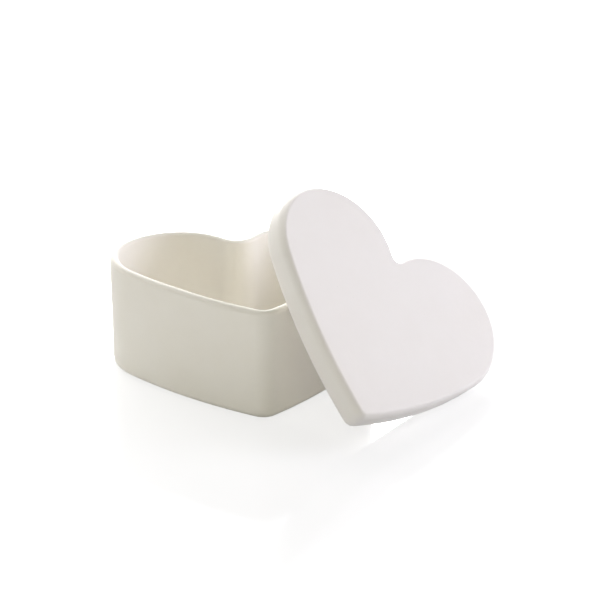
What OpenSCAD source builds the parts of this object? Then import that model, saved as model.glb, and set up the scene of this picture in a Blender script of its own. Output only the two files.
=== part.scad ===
// Heart-shaped ceramic box with a loose, thick lid.
// The box stands on z = 0 with its heart's tip towards -Y. Its lid is off, and leans on the box
// from the front right: its lower edge is on the table and its underside on the box's rim.
// Every plan outline is one heart of arcs that run smoothly into each other: two lobes, two long
// flanks, a tip and a cleft. Growing or shrinking the heart only changes the arcs' radii.

/* [Heart outline] */
// Width of the box across its lobes
heart_w = 100; // [90:1:110]
// Radius of each lobe
lobe_r = 25.6; // [25.1:0.1:26.5]
// Radius of the long, nearly straight flanks
flank_r = 185; // [150:1:240]
// Slope at which a lobe runs into its flank, in degrees
flank_angle = 34; // [30:0.5:38]
// Radius at the bottom of the cleft between the lobes
cleft_r = 5.4; // [4:0.1:8]

/* [Box] */
// Height of the box without its lid
box_h = 42.2; // [30:0.1:60]
// Thickness of the wall
wall = 3.3; // [3.2:0.1:5]
// Thickness of the floor
floor_t = 4; // [3:0.5:8]
// How much narrower the box is at its foot than at its rim, on each side
draft = 0.6; // [0:0.1:1.5]
// Radius of the box's tip outside
tip_r = 7.2; // [4:0.1:9]
// Radius of the box's tip inside
well_tip_r = 3.5; // [1:0.1:6]
// Rounding of the foot
foot_round = 2.4; // [1:0.1:4]
// Rounding of the rim's outer edge
rim_round = 1.9; // [0.5:0.1:1.9]
// Rounding of the rim's inner edge
rim_inner_round = 1.3; // [0.5:0.1:1.3]
// Rounding inside the box, between wall and floor
well_round = 5; // [2:0.5:8]

/* [Lid] */
// Thickness of the lid without its locating ring
lid_h = 10.2; // [9:0.1:16]
// How far the lid stands out past the rim all round
lid_over = 1.3; // [0.5:0.1:2.5]
// Radius of the lid's tip
lid_tip_r = 4; // [3:0.1:6]
// Radius at the bottom of the lid's cleft
lid_cleft_r = 2; // [1:0.1:6]
// Rounding that leads from the lid's side towards its face
lid_top_round = 5.2; // [3:0.1:6]
// How far that rounding turns, in degrees, before it meets the face at a crisp edge
lid_top_turn = 38; // [25:1:50]
// Rounding of the crisp edge round the face
lid_edge_round = 1.6; // [0.5:0.1:2]
// Rounding of the lid's bottom edge
lid_bottom_round = 2.4; // [0.5:0.1:3]
// How far the locating ring stands down into the box
ring_h = 2.4; // [1.5:0.1:4]
// Width of the locating ring
ring_w = 3.6; // [2.5:0.1:5]
// Gap between the locating ring and the inside of the rim
ring_gap = 0.9; // [0.3:0.1:1.5]
// Thickness of the lid over its hollow
lid_skin = 4; // [3.5:0.5:5]
// Rounding at the top of the lid's hollow
hollow_round = 3; // [1:0.5:3]

/* [How the lid leans] */
// Tilt of the lid from level
lean_tilt = 49.1; // [45:0.1:60]
// Direction that the lid's top faces, turned from +X
lean_heading = -45; // [-50:0.5:-40]
// Turn of the lid in its own plane
lean_spin = 35; // [30:0.5:45]
// How far the lid is moved along the wall that it leans on
lean_shift = 5.7; // [0:0.1:12]

/* [Hidden] */
WHITE = [0.93, 0.91, 0.88];
// Chords in each arc of half the outline, and in each rounded edge
TIP_STEPS = 6;
FLANK_STEPS = 8;
LOBE_STEPS = 28;
CLEFT_STEPS = 6;
ROUND_STEPS = 6;
TURN_STEPS = 4;
// Bevel on the locating ring's lower edges
RING_BEVEL = 0.6;
// The sharpest that a tip gets where the outline is moved in
SHARPEST = 0.2;

// Centres of the arcs in the right half. lobe_y puts the frame's Z axis half way along the box.
lobe_x = heart_w / 2 - lobe_r;
flank_x = lobe_x - (flank_r - lobe_r) * cos(flank_angle);
flank_rise = (flank_r - lobe_r) * sin(flank_angle);
function tip_drop(tip) = sqrt(pow(flank_r - tip, 2) - pow(flank_x, 2)) - flank_rise;
lobe_y = (tip_drop(tip_r) + tip_r - lobe_r) / 2;
flank_y = lobe_y + flank_rise;
function tip_y(tip) = lobe_y - tip_drop(tip);
function cleft_y(cleft) = lobe_y + sqrt(pow(lobe_r + cleft, 2) - pow(lobe_x, 2));

// Tip radius on the unmoved heart that gives the well its tip. The wall is never thinner there.
well_tip = max(well_tip_r + wall, tip_r);

// Angles at which a flank hands over to the tip, and a lobe to the cleft
function tip_join(tip) = atan2(tip_y(tip) - flank_y, -flank_x);
function cleft_join(cleft) = atan2(cleft_y(cleft) - lobe_y, -lobe_x);

// Points of an arc about c, from angle a to angle b
function arc(c, r, a, b, steps) = [
    for (i = [0 : steps])
    let (t = a + (b - a) * i / steps)
    [c[0] + r * cos(t), c[1] + r * sin(t)]
];

// A list without its first item
function rest(list) = [for (i = [1 : len(list) - 1]) list[i]];

// Right half of the heart from its tip to its cleft, moved out by d. tip and cleft are radii on
// the heart that isn't moved. tip grows where d would leave the tip sharper than SHARPEST.
function half_heart(d, tip, cleft) =
    let (t = max(tip, SHARPEST - d))
    concat(
        arc([0, tip_y(t)], t + d, -90, tip_join(t), TIP_STEPS),
        rest(arc([flank_x, flank_y], flank_r + d, tip_join(t), -flank_angle, FLANK_STEPS)),
        rest(arc([lobe_x, lobe_y], lobe_r + d, -flank_angle, cleft_join(cleft), LOBE_STEPS)),
        rest(arc([0, cleft_y(cleft)], cleft - d, cleft_join(cleft) - 180, -90, CLEFT_STEPS))
    );

// The whole heart, anticlockwise
function heart(d, tip, cleft) =
    let (right = half_heart(d, tip, cleft), last = len(right) - 1)
    concat(right, [for (i = [last - 1 : -1 : 1]) [-right[i][0], right[i][1]]]);

// How far the right half of the heart reaches in direction a, from the frame's Z axis
function heart_reach(a, tip) =
    a > -flank_angle ? lobe_x * cos(a) + lobe_y * sin(a) + lobe_r
    : a > tip_join(tip) ? flank_x * cos(a) + flank_y * sin(a) + flank_r
    : tip_y(tip) * sin(a) + tip;

// A solid whose surface follows edge, a list of [distance out, height, tip radius, cleft radius],
// from the middle of its underside, out and round, to the middle of its top
module heart_solid(edge) {
    rings = [for (e = edge) heart(e[0], e[2], e[3])];
    n = len(rings[0]);
    top = len(edge) - 1;
    points = [for (k = [0 : top]) for (p = rings[k]) [p[0], p[1], edge[k][1]]];
    sides = [
        for (k = [0 : top - 1]) for (i = [0 : n - 1])
        let (a = k * n + i, b = k * n + (i + 1) % n)
        each [[a, a + n, b + n], [a, b + n, b]]
    ];
    under = [for (i = [0 : n - 1]) i];
    over = [for (i = [n - 1 : -1 : 0]) top * n + i];
    polyhedron(points, concat([under], sides, [over]));
}

// Points of an edge, each with the tip's radius and the cleft's
function with_radii(edge, tip, cleft) = [for (e = edge) [e[0], e[1], tip, cleft]];

module box() {
    foot_d = -draft - foot_round;
    well_d = -wall - draft - well_round;
    foot_edge = arc([foot_d, foot_round], foot_round, -90, 0, ROUND_STEPS);
    lip_d = -wall + rim_inner_round;
    rim_edge = arc([-rim_round, box_h - rim_round], rim_round, 0, 90, ROUND_STEPS);
    lip_edge = arc([lip_d, box_h - rim_inner_round], rim_inner_round, 90, 180, ROUND_STEPS);
    well_edge = arc([well_d, floor_t + well_round], well_round, 0, -90, ROUND_STEPS);
    color(WHITE)
        heart_solid(concat(
            with_radii(concat(foot_edge, rim_edge), tip_r, cleft_r),
            with_radii(concat(lip_edge, well_edge), well_tip, cleft_r)
        ));
}

// The lid lying level, with the underside that meets the rim at z = 0
module level_lid() {
    lid_tip = lid_tip_r - lid_over;
    lid_cleft = lid_cleft_r + lid_over;
    ring_out = -wall - ring_gap;
    ring_in = ring_out - ring_w;
    hollow_z = lid_h - lid_skin - hollow_round;
    hollow_edge = arc([ring_in - hollow_round, hollow_z], hollow_round, 90, 0, ROUND_STEPS);
    ring_edge = [
        [ring_in, RING_BEVEL - ring_h],
        [ring_in + RING_BEVEL, -ring_h],
        [ring_out - RING_BEVEL, -ring_h],
        [ring_out, RING_BEVEL - ring_h],
        [ring_out, 0]
    ];
    under_edge = arc([lid_over - lid_bottom_round, lid_bottom_round], lid_bottom_round, -90, 0, ROUND_STEPS);
    // The rounding and the crisp edge share a tangent where they meet, lid_top_turn round
    top_inset = lid_top_round - lid_edge_round;
    crisp_z = lid_h - lid_edge_round;
    round_z = crisp_z - top_inset * sin(lid_top_turn);
    round_d = lid_over - lid_top_round;
    crisp_d = round_d + top_inset * cos(lid_top_turn);
    round_edge = arc([round_d, round_z], lid_top_round, 0, lid_top_turn, TURN_STEPS);
    crisp_edge = rest(arc([crisp_d, crisp_z], lid_edge_round, lid_top_turn, 90, ROUND_STEPS - 1));
    heart_solid(concat(
        with_radii(concat(hollow_edge, ring_edge), well_tip, cleft_r),
        with_radii(concat(under_edge, round_edge, crisp_edge), lid_tip, lid_cleft)
    ));
}

module lid() {
    // Height at which the lid's rounded lower edge just touches the table
    edge_reach = heart_reach(-lean_spin, lid_tip_r - lid_over) + lid_over - lid_bottom_round;
    lid_z = sin(lean_tilt) * edge_reach + (1 - cos(lean_tilt)) * lid_bottom_round;
    // Distance out at which the plane of the locating ring's face just touches the box's rim
    rim_reach = sin(lean_tilt) * (heart_reach(lean_heading, tip_r) - rim_round)
        + cos(lean_tilt) * (box_h - rim_round) + rim_round;
    lid_out = (rim_reach + ring_h - cos(lean_tilt) * lid_z) / sin(lean_tilt);
    color(WHITE)
        rotate([0, 0, lean_heading])
            translate([lid_out, lean_shift, lid_z])
                rotate([0, lean_tilt, 0])
                    rotate([0, 0, lean_spin])
                        level_lid();
}

box();
lid();
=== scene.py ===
# A heart-shaped bisque box with its thick lid leaning on it.
import math

import bpy
import numpy as np
from mathutils import Matrix, Vector
from mathutils.geometry import delaunay_2d_cdt


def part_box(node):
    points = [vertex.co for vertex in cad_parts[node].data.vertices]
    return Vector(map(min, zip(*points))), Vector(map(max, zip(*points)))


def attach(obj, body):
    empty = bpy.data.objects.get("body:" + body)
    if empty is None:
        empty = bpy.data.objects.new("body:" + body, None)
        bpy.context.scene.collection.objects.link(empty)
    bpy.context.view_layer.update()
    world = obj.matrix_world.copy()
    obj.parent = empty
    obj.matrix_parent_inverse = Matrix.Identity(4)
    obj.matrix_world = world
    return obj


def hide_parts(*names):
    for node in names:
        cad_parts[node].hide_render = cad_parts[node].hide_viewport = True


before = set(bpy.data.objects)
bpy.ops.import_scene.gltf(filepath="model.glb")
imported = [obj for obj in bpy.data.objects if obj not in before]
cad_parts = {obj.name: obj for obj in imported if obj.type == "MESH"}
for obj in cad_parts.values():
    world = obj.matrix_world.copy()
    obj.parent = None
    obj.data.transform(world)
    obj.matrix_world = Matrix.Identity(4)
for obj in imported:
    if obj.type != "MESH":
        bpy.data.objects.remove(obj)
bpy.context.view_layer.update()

MM = 0.001

# ---------------------------------------------------------------- driving dimensions, in mm
# The same as the CAD model's, apart from LID_EDGE_ROUND, which is a little crisper here. The box's
# width and height come from the frame.
LOBE_R = 25.6
FLANK_R = 185.0
FLANK_ANGLE = math.radians(34)
CLEFT_R = 5.4

WALL = 3.3
FLOOR_T = 4.0
DRAFT = 0.6
TIP_R = 7.2
WELL_TIP_R = 3.5
FOOT_ROUND = 2.4
RIM_ROUND = 1.9
RIM_INNER_ROUND = 1.3
WELL_ROUND = 5.0

LID_H = 10.2
LID_OVER = 1.3
LID_TIP_R = 4.0
LID_CLEFT_R = 2.0
LID_TOP_ROUND = 5.2
LID_TOP_TURN = 38
LID_EDGE_ROUND = 1.3
LID_BOTTOM_ROUND = 2.4
RING_H = 2.4
RING_W = 3.6
RING_GAP = 0.9
RING_BEVEL = 0.6
LID_SKIN = 4.0
HOLLOW_ROUND = 3.0

LEAN_TILT = math.radians(49.1)
LEAN_HEADING = math.radians(-45)
LEAN_SPIN = math.radians(35)
LEAN_SHIFT = 5.7

box_low, box_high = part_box("box")
HEART_W = round((box_high.x - box_low.x) / MM)
BOX_H = (box_high.z - box_low.z) / MM

# ---------------------------------------------------------------- the heart outline
# Arcs that run smoothly into each other: tip, flank, lobe and cleft. Moving the outline out or in
# only changes the arcs' radii.
SHARPEST = 0.35  # the sharpest that a tip gets where the outline is moved in
STEPS = {"tip": 18, "flank": 40, "lobe": 90, "cleft": 22}

lobe_x = HEART_W / 2 - LOBE_R
flank_x = lobe_x - (FLANK_R - LOBE_R) * math.cos(FLANK_ANGLE)
flank_rise = (FLANK_R - LOBE_R) * math.sin(FLANK_ANGLE)


def tip_drop(tip):
    """How far the centre of a tip of this radius lies below the lobes' centres."""
    return math.sqrt((FLANK_R - tip) ** 2 - flank_x**2) - flank_rise


lobe_y = (tip_drop(TIP_R) + TIP_R - LOBE_R) / 2
flank_y = lobe_y + flank_rise


def tip_y(tip):
    return lobe_y - tip_drop(tip)


def tip_join(tip):
    """The angle at which a flank hands over to a tip of this radius."""
    return math.atan2(tip_y(tip) - flank_y, -flank_x)


def cleft_y(cleft):
    return lobe_y + math.sqrt((LOBE_R + cleft) ** 2 - lobe_x**2)


def cleft_join(cleft):
    """The angle at which a lobe hands over to a cleft of this radius."""
    return math.atan2(cleft_y(cleft) - lobe_y, -lobe_x)


# Radii of tip and cleft on the unmoved heart, for the box, its well and the lid
BOX_RADII = (TIP_R, CLEFT_R)
WELL_RADII = (max(WELL_TIP_R + WALL, TIP_R), CLEFT_R)
LID_RADII = (LID_TIP_R - LID_OVER, LID_CLEFT_R + LID_OVER)


def arc(cx, cy, r, a, b, steps):
    """Points of an arc about (cx, cy), from angle a to angle b."""
    t = np.linspace(a, b, steps + 1)
    return np.column_stack([cx + r * np.cos(t), cy + r * np.sin(t)])


def heart(d, radii):
    """The whole outline moved out by d, anticlockwise from the tip. The radii are those of the
    outline's tip and cleft where it isn't moved."""
    tip, cleft = radii
    t = max(tip, SHARPEST - d)
    join, end = tip_join(t), cleft_join(cleft)
    right = np.vstack([
        arc(0, tip_y(t), t + d, -math.pi / 2, join, STEPS["tip"]),
        arc(flank_x, flank_y, FLANK_R + d, join, -FLANK_ANGLE, STEPS["flank"])[1:],
        arc(lobe_x, lobe_y, LOBE_R + d, -FLANK_ANGLE, end, STEPS["lobe"])[1:],
        arc(0, cleft_y(cleft), cleft - d, end - math.pi, -math.pi / 2, STEPS["cleft"])[1:],
    ])
    left = right[-2:0:-1] * [-1, 1]
    return np.vstack([right, left])


def heart_reach(a, tip):
    """How far the right half of the outline reaches in direction a, from the frame's Z axis."""
    if a > -FLANK_ANGLE:
        return lobe_x * math.cos(a) + lobe_y * math.sin(a) + LOBE_R
    if a > tip_join(tip):
        return flank_x * math.cos(a) + flank_y * math.sin(a) + FLANK_R
    return tip_y(tip) * math.sin(a) + tip


# ---------------------------------------------------------------- edges and lofts
# An edge point is (distance out, height, (tip radius, cleft radius)).
FACE_SPACING = 1.3  # between the points on a flat face
SPECK_R = 0.3
SPECK_H = 0.12
SPECK_ROUNDS = (0.12, 0.24, 0.38, 0.6)  # radii of the rounds of points at a speck
SPECK_SIDES = 12  # points in each round
BORDER_CLEARANCE = 0.7  # from a face's border to its nearest grid point, in spacings
SPECK_CLEARANCE = 0.75  # from a speck to its nearest grid point, in spacings
CDT_INSIDE_ONLY = 1  # delaunay_2d_cdt returns only the triangles inside the border
CDT_EPSILON = 1e-6
SAME_PLACE = 1e-6  # edge points nearer than this are one point


def rounded(d, z, r, a, b, steps, radii):
    """The edge points of a rounded corner, from angle a to angle b in degrees."""
    t = np.radians(np.linspace(a, b, steps + 1))
    return [(d + r * math.cos(k), z + r * math.sin(k), radii) for k in t]


def radii_between(a, b, share):
    """The tip and cleft radii at a share of the way from a to b."""
    return tuple(x + (y - x) * share for x, y in zip(a, b))


def straight(start, end, steps):
    """The points between two edge points, without the points themselves."""
    a, b = np.array(start[:2]), np.array(end[:2])
    return [
        (*(a + (b - a) * k / steps), radii_between(start[2], end[2], k / steps))
        for k in range(1, steps)
    ]


def joined(*runs, spacing):
    """Edge runs in one list, with straight stretches between them cut to about spacing."""
    out = list(runs[0])
    for run in runs[1:]:
        gap = math.dist(out[-1][:2], run[0][:2])
        out += straight(out[-1], run[0], max(1, round(gap / spacing)))
        out += run[1:] if gap < SAME_PLACE else run
    return out


def inward(edge_point, reach, steps):
    """Edge points that lead from a flat face's border in towards its middle."""
    d, z, radii = edge_point
    return [(d - reach * k / steps, z, radii) for k in range(1, steps + 1)]


def inside(places, ring):
    """Which of these places lie inside a closed ring, by counting the sides that a ray crosses."""
    a, b = ring, np.roll(ring, -1, axis=0)
    x, y = places[:, :1], places[:, 1:]
    spans = (a[:, 1] > y) != (b[:, 1] > y)
    rise = np.where(a[:, 1] == b[:, 1], 1, b[:, 1] - a[:, 1])
    crossing = a[:, 0] + (y - a[:, 1]) / rise * (b[:, 0] - a[:, 0])
    return (spans & (crossing > x)).sum(axis=1) % 2 == 1


def fill(ring, spacing, details=()):
    """Extra places inside a ring, about spacing apart and closer round each of the details, and the
    triangles that fill it with them. A triangle counts the ring's own points first."""
    low, high = ring.min(axis=0), ring.max(axis=0)
    rows = np.arange(low[1], high[1], spacing * math.sqrt(3) / 2)
    grid = np.array([
        (x + spacing / 2 * (k % 2), y)
        for k, y in enumerate(rows)
        for x in np.arange(low[0], high[0], spacing)
    ])
    to_border = np.array([np.min(np.linalg.norm(ring - place, axis=1)) for place in grid])
    clear = to_border > spacing * BORDER_CLEARANCE
    grid = grid[clear & inside(grid, ring)]
    for x, y in details:
        grid = grid[np.linalg.norm(grid - (x, y), axis=1) > spacing * SPECK_CLEARANCE]
        rounds = [arc(x, y, r, 0, 2 * math.pi, SPECK_SIDES)[:-1] for r in SPECK_ROUNDS]
        grid = np.vstack([grid, [(x, y)], *rounds])
    n = len(ring)
    places = [Vector(place) for place in np.vstack([ring, grid])]
    border = [(k, (k + 1) % n) for k in range(n)]
    found = delaunay_2d_cdt(places, border, [], CDT_INSIDE_ONLY, CDT_EPSILON)
    triangles, origins = found[2], found[3]
    source = [origin[0] for origin in origins]
    return grid, [[source[v] for v in face] for face in triangles]


def loft(name, edge, shape, details=()):
    """A closed solid whose surface follows edge from the middle of its underside, out and round,
    to the middle of its top. The mesh is finer round the top's details, and shape then moves its
    points."""
    rings = [heart(d, radii) for d, z, radii in edge]
    n = len(rings[0])
    i = np.arange(n)
    j = (i + 1) % n
    points = [np.column_stack([ring, np.full(n, e[1])]) for ring, e in zip(rings, edge)]
    faces = []
    for k in range(len(edge) - 1):
        a, b = k * n, (k + 1) * n
        faces += np.column_stack([a + i, a + j, b + j, b + i]).tolist()
    total = len(edge) * n
    # Each flat face's ring, edge point, first point, whether it faces up, and its details
    ends = ((rings[0], edge[0], 0, False, ()), (rings[-1], edge[-1], total - n, True, details))
    for ring, e, first, up, finer in ends:
        grid, triangles = fill(ring, FACE_SPACING, finer)
        for face in triangles:
            face = [first + v if v < n else total + v - n for v in face]
            faces.append(face if up else face[::-1])
        points.append(np.column_stack([grid, np.full(len(grid), e[1])]))
        total += len(grid)
    points = shape(np.vstack(points))
    mesh = bpy.data.meshes.new(name)
    mesh.from_pydata((points * MM).tolist(), [], faces)
    mesh.validate()
    mesh.update()
    mesh.shade_smooth()
    piece = bpy.data.objects.new(name, mesh)
    bpy.context.collection.objects.link(piece)
    return piece


# ---------------------------------------------------------------- the ceramic's own unevenness
WAVE_COUNT = 14
WAVE_SPREAD = (0.7, 1.6)  # shortest and longest wavelength, as parts of the size asked for
SPECK_FALLOFF = 1.5


def waves(points, seed, size, depth):
    """Smooth, slow unevenness: a sum of a few plane waves of about this wavelength."""
    rng = np.random.default_rng(seed)
    total = np.zeros(len(points))
    for _ in range(WAVE_COUNT):
        direction = rng.normal(size=3)
        direction /= np.linalg.norm(direction)
        wavelength = size * rng.uniform(*WAVE_SPREAD)
        total += np.sin(points @ direction * 2 * math.pi / wavelength + rng.uniform(0, 2 * math.pi))
    return depth * total / math.sqrt(WAVE_COUNT / 2)


def specks(points, centres):
    """How far each point of a level face stands up for a few specks with these centres."""
    rise = np.zeros(len(points))
    for centre in centres:
        r = np.linalg.norm(points[:, :2] - centre, axis=1) / SPECK_R
        rise = np.maximum(rise, SPECK_H * np.exp(-SPECK_FALLOFF * r**2))
    return rise


# ---------------------------------------------------------------- the box
BOX_SPACING = 2.2  # between edge points on the wall
BAND, BAND_RINGS = 2, 2  # the band of rings inside a flat face's border
# Wavelength and depth of the unevenness, and how far the surface is moved in or down on average
WALL_WAVE, WALL_DEPTH, WALL_IN = 38, 0.10, 0.12
RIM_WAVE, RIM_DEPTH, RIM_DOWN = 45, 0.05, 0.06
RIM_ZONE = 3  # height of the part at the top that follows the rim's waves
WALL_CENTRE_DROP = 8  # from the lobes' centres down to the point that the wall moves towards


def box_edge():
    foot = rounded(-DRAFT - FOOT_ROUND, FOOT_ROUND, FOOT_ROUND, -90, 0, 12, BOX_RADII)
    rim_out = rounded(-RIM_ROUND, BOX_H - RIM_ROUND, RIM_ROUND, 0, 90, 10, BOX_RADII)
    lip_d, lip_z = RIM_INNER_ROUND - WALL, BOX_H - RIM_INNER_ROUND
    rim_in = rounded(lip_d, lip_z, RIM_INNER_ROUND, 90, 180, 10, WELL_RADII)
    well_d = -WALL - DRAFT - WELL_ROUND
    well = rounded(well_d, FLOOR_T + WELL_ROUND, WELL_ROUND, 0, -90, 14, WELL_RADII)
    under = inward(foot[0], BAND, BAND_RINGS)[::-1]
    floor = inward(well[-1], BAND, BAND_RINGS)
    return under + joined(foot, rim_out, rim_in, well, spacing=BOX_SPACING) + floor


def soften_box(points):
    """A cast wall isn't quite flat: it moves in and out by a fraction of a millimetre. The foot
    stays flat on the table, and the piece's bounds stay inside the CAD model's."""
    centre = np.array([0, lobe_y - WALL_CENTRE_DROP, 0])
    out = points - centre
    out[:, 2] = 0
    out /= np.maximum(np.linalg.norm(out, axis=1), 1)[:, None]
    height = np.clip(points[:, 2] / FOOT_ROUND, 0, 1)[:, None]
    move = (waves(points, 4, WALL_WAVE, WALL_DEPTH) - WALL_IN)[:, None]
    moved = points + out * move * height
    rim_move = waves(points, 9, RIM_WAVE, RIM_DEPTH) - RIM_DOWN
    moved[:, 2] += np.where(points[:, 2] > BOX_H - RIM_ZONE, rim_move, 0)
    return moved


# ---------------------------------------------------------------- the lid
LID_SPACING = 1.6  # between edge points on the lid's side
FACE_BAND, FACE_RINGS = 4, 8  # the band of rings inside the face's border
SIDE_IN = 0.16  # how far the lid's widest part stays inside the CAD lid's
FACE_WAVE, FACE_DEPTH, FACE_DOWN = 46, 0.05, 0.08
FACE_ZONE = 0.99  # share of the way from half height to the top, above which specks may stand
LID_SPECKS = [(-38.1, 21.2), (-31.6, 17.9), (-22.6, 0.8), (-15.0, 0.8), (16.4, 14.5)]


def lid_edge():
    ring_out = -WALL - RING_GAP
    ring_in = ring_out - RING_W
    hollow_z = LID_H - LID_SKIN - HOLLOW_ROUND
    bevel, bevel_z = RING_BEVEL, RING_BEVEL - RING_H
    hollow = rounded(ring_in - HOLLOW_ROUND, hollow_z, HOLLOW_ROUND, 90, 0, 10, WELL_RADII)
    ring_mouth = rounded(ring_in + bevel, bevel_z, bevel, 180, 270, 5, WELL_RADII)
    ring_lip = rounded(ring_out - bevel, bevel_z, bevel, -90, 0, 5, WELL_RADII)
    ring_root = rounded(ring_out + bevel, -bevel, bevel, 180, 90, 5, WELL_RADII)
    under_d = LID_OVER - LID_BOTTOM_ROUND
    under = rounded(under_d, LID_BOTTOM_ROUND, LID_BOTTOM_ROUND, -90, 0, 12, LID_RADII)
    inset = LID_TOP_ROUND - LID_EDGE_ROUND
    turn = math.radians(LID_TOP_TURN)
    crisp_z = LID_H - LID_EDGE_ROUND
    crisp_d = LID_OVER - LID_TOP_ROUND + inset * math.cos(turn)
    side_d, side_z = LID_OVER - LID_TOP_ROUND, crisp_z - inset * math.sin(turn)
    side = rounded(side_d, side_z, LID_TOP_ROUND, 0, LID_TOP_TURN, 12, LID_RADII)
    crisp = rounded(crisp_d, crisp_z, LID_EDGE_ROUND, LID_TOP_TURN, 90, 14, LID_RADII)
    top = side + crisp[1:]
    ceiling = inward(hollow[0], BAND, BAND_RINGS)[::-1]
    face = inward(top[-1], FACE_BAND, FACE_RINGS)
    side_runs = joined(hollow, ring_mouth, ring_lip, ring_root, under, top, spacing=LID_SPACING)
    return ceiling + side_runs + face


def soften_lid(points):
    """The lid's top is uneven by a fraction of a millimetre and has a few fine specks of clay. It
    is drawn in a little, so that its bounds stay inside the CAD lid's."""
    top = np.clip((points[:, 2] - LID_H / 2) / (LID_H / 2), 0, 1)
    moved = points.copy()
    moved[:, :2] *= 1 - SIDE_IN / (HEART_W / 2)
    moved[:, 2] += top * (waves(points, 21, FACE_WAVE, FACE_DEPTH) - FACE_DOWN)
    moved[:, 2] += np.where(top > FACE_ZONE, specks(points, LID_SPECKS), 0)
    return moved


def lean(lid):
    """Stands the lid on its lower edge, leaning on the box's rim."""
    edge_reach = heart_reach(-LEAN_SPIN, LID_TIP_R - LID_OVER) + LID_OVER - LID_BOTTOM_ROUND
    up = math.sin(LEAN_TILT) * edge_reach + (1 - math.cos(LEAN_TILT)) * LID_BOTTOM_ROUND
    rim_reach = (
        math.sin(LEAN_TILT) * (heart_reach(LEAN_HEADING, TIP_R) - RIM_ROUND)
        + math.cos(LEAN_TILT) * (BOX_H - RIM_ROUND)
        + RIM_ROUND
    )
    out = (rim_reach + RING_H - math.cos(LEAN_TILT) * up) / math.sin(LEAN_TILT)
    lid.data.transform(
        Matrix.Rotation(LEAN_HEADING, 4, "Z")
        @ Matrix.Translation(Vector((out, LEAN_SHIFT, up)) * MM)
        @ Matrix.Rotation(LEAN_TILT, 4, "Y")
        @ Matrix.Rotation(LEAN_SPIN, 4, "Z")
    )
    lid.data.update()


# ---------------------------------------------------------------- materials
def node(tree, kind, **values):
    """A shader node with some of its sockets and properties set."""
    made = tree.nodes.new(kind)
    for name, value in values.items():
        if name in made.inputs:
            made.inputs[name].default_value = value
        else:
            setattr(made, name, value)
    return made


def bisque(name, colour, warm, seed):
    """Unglazed, once-fired white clay: powdery, very slightly mottled between colour and warm, with
    a fine grain. seed moves the pattern."""
    material = bpy.data.materials.new(name)
    material.use_nodes = True
    tree = material.node_tree
    shader = tree.nodes["Principled BSDF"]
    link = tree.links.new
    place = node(tree, "ShaderNodeTexCoord")
    moved = node(tree, "ShaderNodeMapping")
    moved.inputs["Location"].default_value = (seed, seed * 0.7, -seed)
    link(place.outputs["Object"], moved.inputs["Vector"])

    def noise(scale, detail, roughness):
        made = node(tree, "ShaderNodeTexNoise", Scale=scale, Detail=detail, Roughness=roughness)
        link(moved.outputs["Vector"], made.inputs["Vector"])
        return made

    mottle = noise(38, 5, 0.6)
    spread = node(tree, "ShaderNodeMapRange")
    spread.inputs["From Min"].default_value = 0.3
    spread.inputs["From Max"].default_value = 0.7
    link(mottle.outputs["Fac"], spread.inputs["Value"])
    tint = node(tree, "ShaderNodeMix", data_type="RGBA")
    tint.inputs["A"].default_value = (*colour, 1)
    tint.inputs["B"].default_value = (*warm, 1)
    link(spread.outputs["Result"], tint.inputs["Factor"])
    link(tint.outputs["Result"], shader.inputs["Base Color"])

    dull = node(tree, "ShaderNodeMapRange")
    dull.inputs["To Min"].default_value = 0.78
    dull.inputs["To Max"].default_value = 0.92
    link(noise(210, 4, 0.6).outputs["Fac"], dull.inputs["Value"])
    link(dull.outputs["Result"], shader.inputs["Roughness"])

    grain = node(tree, "ShaderNodeBump", Strength=0.18, Distance=0.00012)
    link(noise(5200, 3, 0.7).outputs["Fac"], grain.inputs["Height"])
    sponged = node(tree, "ShaderNodeBump", Strength=0.12, Distance=0.0004)
    link(noise(420, 4, 0.55).outputs["Fac"], sponged.inputs["Height"])
    link(grain.outputs["Normal"], sponged.inputs["Normal"])
    link(sponged.outputs["Normal"], shader.inputs["Normal"])
    shader.inputs["Specular IOR Level"].default_value = 0.25
    shader.inputs["Sheen Weight"].default_value = 0.12
    shader.inputs["Sheen Roughness"].default_value = 0.6
    return material


def white(name, albedo, glow=0.0, roughness=1.0):
    """White for the stage: polished where roughness is low, and faintly glowing."""
    material = bpy.data.materials.new(name)
    material.use_nodes = True
    shader = material.node_tree.nodes["Principled BSDF"]
    shader.inputs["Base Color"].default_value = (albedo, albedo, albedo, 1)
    shader.inputs["Roughness"].default_value = roughness
    shader.inputs["Specular IOR Level"].default_value = 0.5 if roughness < 1 else 0
    shader.inputs["Emission Color"].default_value = (1, 1, 1, 1)
    shader.inputs["Emission Strength"].default_value = glow
    return material


# ---------------------------------------------------------------- pieces
box_piece = loft("box_casting", box_edge(), soften_box)
box_white = bisque("box_bisque", (0.823, 0.797, 0.74), (0.808, 0.777, 0.71), 3.1)
box_piece.data.materials.append(box_white)
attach(box_piece, "box")
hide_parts("box")

lid_piece = loft("lid_casting", lid_edge(), soften_lid, LID_SPECKS)
lean(lid_piece)
lid_white = bisque("lid_bisque", (0.835, 0.81, 0.778), (0.822, 0.793, 0.755), 7.7)
lid_piece.data.materials.append(lid_white)
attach(lid_piece, "lid")
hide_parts("lid")

# ---------------------------------------------------------------- stage, light and camera
SCENE_MIDDLE = Vector((0.02, 0, 0.02))
TABLE_SIZE = 6
CARD_DROP = 0.0002  # from the table down to the bounce card


def plane(name, height, material):
    """A large level square of the stage."""
    half = TABLE_SIZE / 2
    corners = [(x * half, y * half, height) for x, y in ((-1, -1), (1, -1), (1, 1), (-1, 1))]
    mesh = bpy.data.meshes.new(name)
    mesh.from_pydata(corners, [], [(0, 1, 2, 3)])
    mesh.materials.append(material)
    made = bpy.data.objects.new(name, mesh)
    bpy.context.collection.objects.link(made)
    return made


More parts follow.
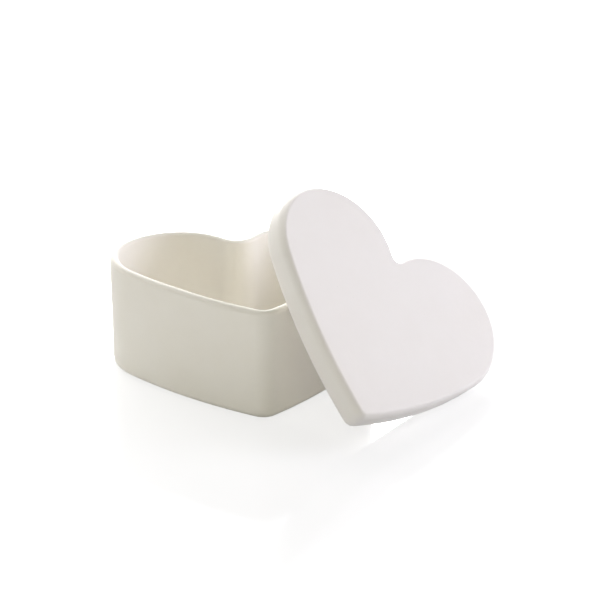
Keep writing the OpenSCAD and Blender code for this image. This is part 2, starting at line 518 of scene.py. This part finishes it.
# The table is the white surface that is seen, with a faint mirror image. The bounce card just
# under it isn't seen: it gives back the light that a plain white table would.
table = plane("table", 0, white("table_white", 0.245, glow=0.70, roughness=0.07))
table.visible_diffuse = False
table.visible_shadow = False
bounce_card = plane("bounce_card", -CARD_DROP, white("card_white", 0.8))
bounce_card.visible_camera = False
bounce_card.visible_glossy = False


def soft_box(name, azimuth, elevation, distance, width, height, power, colour):
    """A soft box that faces the object. Azimuth is turned from +X towards +Y, in degrees."""
    a, e = math.radians(azimuth), math.radians(elevation)
    away = Vector((math.cos(e) * math.cos(a), math.cos(e) * math.sin(a), math.sin(e)))
    data = bpy.data.lights.new(name, "AREA")
    data.shape = "RECTANGLE"
    data.size = width
    data.size_y = height
    data.energy = power
    data.color = colour
    lamp = bpy.data.objects.new(name, data)
    lamp.location = SCENE_MIDDLE + away * distance
    lamp.rotation_euler = away.to_track_quat("Z", "Y").to_euler()
    bpy.context.collection.objects.link(lamp)
    return lamp


COOL = (0.9, 0.89, 1)
WARM = (1, 0.98, 0.85)
NEUTRAL = (1, 1, 1)
NEAR, BOX_SIZE = 1.1, 0.5  # distance and size of the soft boxes round the object
soft_box("right_low", 0, 14, NEAR, BOX_SIZE, BOX_SIZE, 6.1, COOL)
soft_box("right_high", 0, 40, NEAR, BOX_SIZE, BOX_SIZE, 4.9, COOL)
soft_box("behind_low", 90, 14, NEAR, BOX_SIZE, BOX_SIZE, 19.5, NEUTRAL)
soft_box("behind_left", 120, 40, NEAR, BOX_SIZE, BOX_SIZE, 7.1, NEUTRAL)
soft_box("left_low", 180, 14, NEAR, BOX_SIZE, BOX_SIZE, 2.1, NEUTRAL)
soft_box("front_left", 240, 40, NEAR, BOX_SIZE, BOX_SIZE, 2.5, WARM)
soft_box("front", 270, 40, NEAR, BOX_SIZE, BOX_SIZE, 2.0, WARM)

# Only mirror images show the backdrop, and only the camera sees the white round the table
backdrop = soft_box("backdrop", 81, 20, 1.6, 3.0, 1.3, 15.6, NEUTRAL)
backdrop.visible_diffuse = False
world = bpy.data.worlds.new("studio")
bpy.context.scene.world = world
world.use_nodes = True
world.node_tree.nodes["Background"].inputs["Color"].default_value = (1, 1, 1, 1)
world.cycles_visibility.diffuse = False
world.cycles_visibility.glossy = False

CAMERA_AT = Vector((-0.14186, -1.02124, 0.45703))
CAMERA_TURN = math.radians(8.94)
CAMERA_DOWN = math.radians(22.52)
CAMERA_ROLL = math.radians(0.29)
camera_data = bpy.data.cameras.new("camera")
camera_data.lens = 180.7
camera = bpy.data.objects.new("camera", camera_data)
camera.matrix_world = (
    Matrix.Translation(CAMERA_AT)
    @ Matrix.Rotation(-CAMERA_TURN, 4, "Z")
    @ Matrix.Rotation(math.pi / 2 - CAMERA_DOWN, 4, "X")
    @ Matrix.Rotation(CAMERA_ROLL, 4, "Z")
)
bpy.context.collection.objects.link(camera)
bpy.context.scene.camera = camera
bpy.context.scene.view_settings.view_transform = "Standard"
